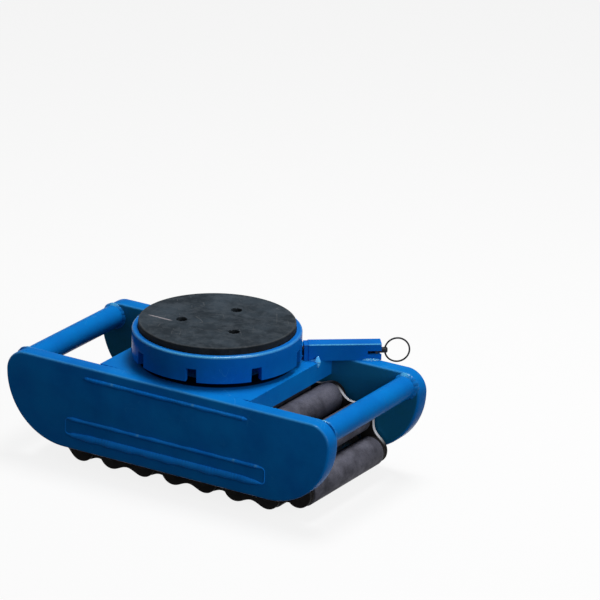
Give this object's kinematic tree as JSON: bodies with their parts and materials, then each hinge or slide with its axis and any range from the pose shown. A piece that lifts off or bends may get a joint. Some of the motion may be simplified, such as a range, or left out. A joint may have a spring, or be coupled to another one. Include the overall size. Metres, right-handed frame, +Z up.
{
  "type": "machine skate",
  "caption": "Chain roller machine skate: steel cheeks round an endless roller chain, with a lockable rubber topped swivel that carries a machine's foot.",
  "frame": {"origin": "on the floor under the swivel axis, midway between the cheeks", "axes": "+X along the skate, +Y across it towards the cheek that the lock reaches over, +Z up"},
  "size_m": [0.3826, 0.2171, 0.1555],
  "materials": {
    "blue_paint": "gloss enamel",
    "beam_paint": "bare track, enamel on the tongues",
    "weld_paint": "enamel over weld beads",
    "roller_steel": "hardened and oiled",
    "link_steel": "zinc plated",
    "bearing_bronze": "turned bronze",
    "bright_steel": "turned steel",
    "spring_steel": "oiled spring wire",
    "pad_rubber": "matt moulded rubber",
    "screw_steel": "dark steel",
    "ring_steel": "bright wire"
  },
  "bodies": {
    "frame": {"beam_welds": "weld_paint", "chain_pins": "link_steel", "cheek_far": "blue_paint", "cheek_near": "blue_paint", "cranked_links": "link_steel", "inner_links_far": "link_steel", "inner_links_near": "link_steel", "lock_end_plug": "bright_steel", "lock_housing": "blue_paint", "lock_spring": "spring_steel", "outer_links": "link_steel", "pivot_post": "bright_steel", "plate_welds": "weld_paint", "retaining_screw": "bright_steel", "retaining_washer": "bright_steel", "swivel_base": "blue_paint", "thrust_washer": "bearing_bronze", "tie_bar_left": "blue_paint", "tie_bar_right": "blue_paint", "top_plate": "blue_paint", "track_beam": "beam_paint"},
    "turntable": {"turntable_cup": "blue_paint", "pivot_bush": "bearing_bronze", "rubber_pad": "pad_rubber", "pad_screws": "screw_steel"},
    "plunger": {"lock_plunger": "bright_steel", "plunger_cross_pin": "bright_steel"},
    "ring": {"pull_ring": "ring_steel"},
    "roller_01": {"roller_01": "roller_steel"},
    "roller_02": {"roller_02": "roller_steel"},
    "roller_03": {"roller_03": "roller_steel"},
    "roller_04": {"roller_04": "roller_steel"},
    "roller_05": {"roller_05": "roller_steel"},
    "roller_06": {"roller_06": "roller_steel"},
    "roller_07": {"roller_07": "roller_steel"},
    "roller_08": {"roller_08": "roller_steel"},
    "roller_09": {"roller_09": "roller_steel"},
    "roller_10": {"roller_10": "roller_steel"},
    "roller_11": {"roller_11": "roller_steel"},
    "roller_12": {"roller_12": "roller_steel"},
    "roller_13": {"roller_13": "roller_steel"},
    "roller_14": {"roller_14": "roller_steel"},
    "roller_15": {"roller_15": "roller_steel"},
    "roller_16": {"roller_16": "roller_steel"},
    "roller_17": {"roller_17": "roller_steel"}
  },
  "joints": [
    {"name": "roller_01_spin", "type": "hinge", "parent": "frame", "child": "roller_01", "pos_m": [-0.01653, 0, 0.0743], "axis": [0, 1, 0], "continuous": true},
    {"name": "roller_02_spin", "type": "hinge", "parent": "frame", "child": "roller_02", "pos_m": [-0.05353, 0, 0.0743], "axis": [0, 1, 0], "continuous": true},
    {"name": "roller_03_spin", "type": "hinge", "parent": "frame", "child": "roller_03", "pos_m": [-0.09052, 0, 0.07373], "axis": [0, 1, 0], "continuous": true},
    {"name": "roller_04_spin", "type": "hinge", "parent": "frame", "child": "roller_04", "pos_m": [-0.12523, 0, 0.06091], "axis": [0, 1, 0], "continuous": true},
    {"name": "roller_05_spin", "type": "hinge", "parent": "frame", "child": "roller_05", "pos_m": [-0.14655, 0, 0.03067], "axis": [0, 1, 0], "continuous": true},
    {"name": "roller_06_spin", "type": "hinge", "parent": "frame", "child": "roller_06", "pos_m": [-0.1128, 0, 0.0155], "axis": [0, 1, 0], "continuous": true},
    {"name": "roller_07_spin", "type": "hinge", "parent": "frame", "child": "roller_07", "pos_m": [-0.0758, 0, 0.0155], "axis": [0, 1, 0], "continuous": true},
    {"name": "roller_08_spin", "type": "hinge", "parent": "frame", "child": "roller_08", "pos_m": [-0.0388, 0, 0.0155], "axis": [0, 1, 0], "continuous": true},
    {"name": "roller_09_spin", "type": "hinge", "parent": "frame", "child": "roller_09", "pos_m": [-0.0018, 0, 0.0155], "axis": [0, 1, 0], "continuous": true},
    {"name": "roller_10_spin", "type": "hinge", "parent": "frame", "child": "roller_10", "pos_m": [0.0352, 0, 0.0155], "axis": [0, 1, 0], "continuous": true},
    {"name": "roller_11_spin", "type": "hinge", "parent": "frame", "child": "roller_11", "pos_m": [0.0722, 0, 0.0155], "axis": [0, 1, 0], "continuous": true},
    {"name": "roller_12_spin", "type": "hinge", "parent": "frame", "child": "roller_12", "pos_m": [0.1092, 0, 0.0155], "axis": [0, 1, 0], "continuous": true},
    {"name": "roller_13_spin", "type": "hinge", "parent": "frame", "child": "roller_13", "pos_m": [0.14484, 0, 0.02543], "axis": [0, 1, 0], "continuous": true},
    {"name": "roller_14_spin", "type": "hinge", "parent": "frame", "child": "roller_14", "pos_m": [0.12848, 0, 0.05862], "axis": [0, 1, 0], "continuous": true},
    {"name": "roller_15_spin", "type": "hinge", "parent": "frame", "child": "roller_15", "pos_m": [0.09445, 0, 0.07316], "axis": [0, 1, 0], "continuous": true},
    {"name": "roller_16_spin", "type": "hinge", "parent": "frame", "child": "roller_16", "pos_m": [0.05747, 0, 0.0743], "axis": [0, 1, 0], "continuous": true},
    {"name": "roller_17_spin", "type": "hinge", "parent": "frame", "child": "roller_17", "pos_m": [0.02047, 0, 0.0743], "axis": [0, 1, 0], "continuous": true},
    {"name": "swivel", "type": "hinge", "parent": "frame", "child": "turntable", "pos_m": [0, 0, 0.134], "axis": [0, 0, 1], "continuous": true},
    {"name": "lock_slide", "type": "slide", "parent": "frame", "child": "plunger", "axis": [-0.7934, -0.6088, 0], "range_m": [-0.003, 0.003], "deforming": ["lock_spring"]},
    {"name": "ring_swing", "type": "hinge", "parent": "plunger", "child": "ring", "pos_m": [0.13541, 0.10391, 0.121], "axis": [0, 0, 1], "range_deg": [-45, 70]}
  ]
}
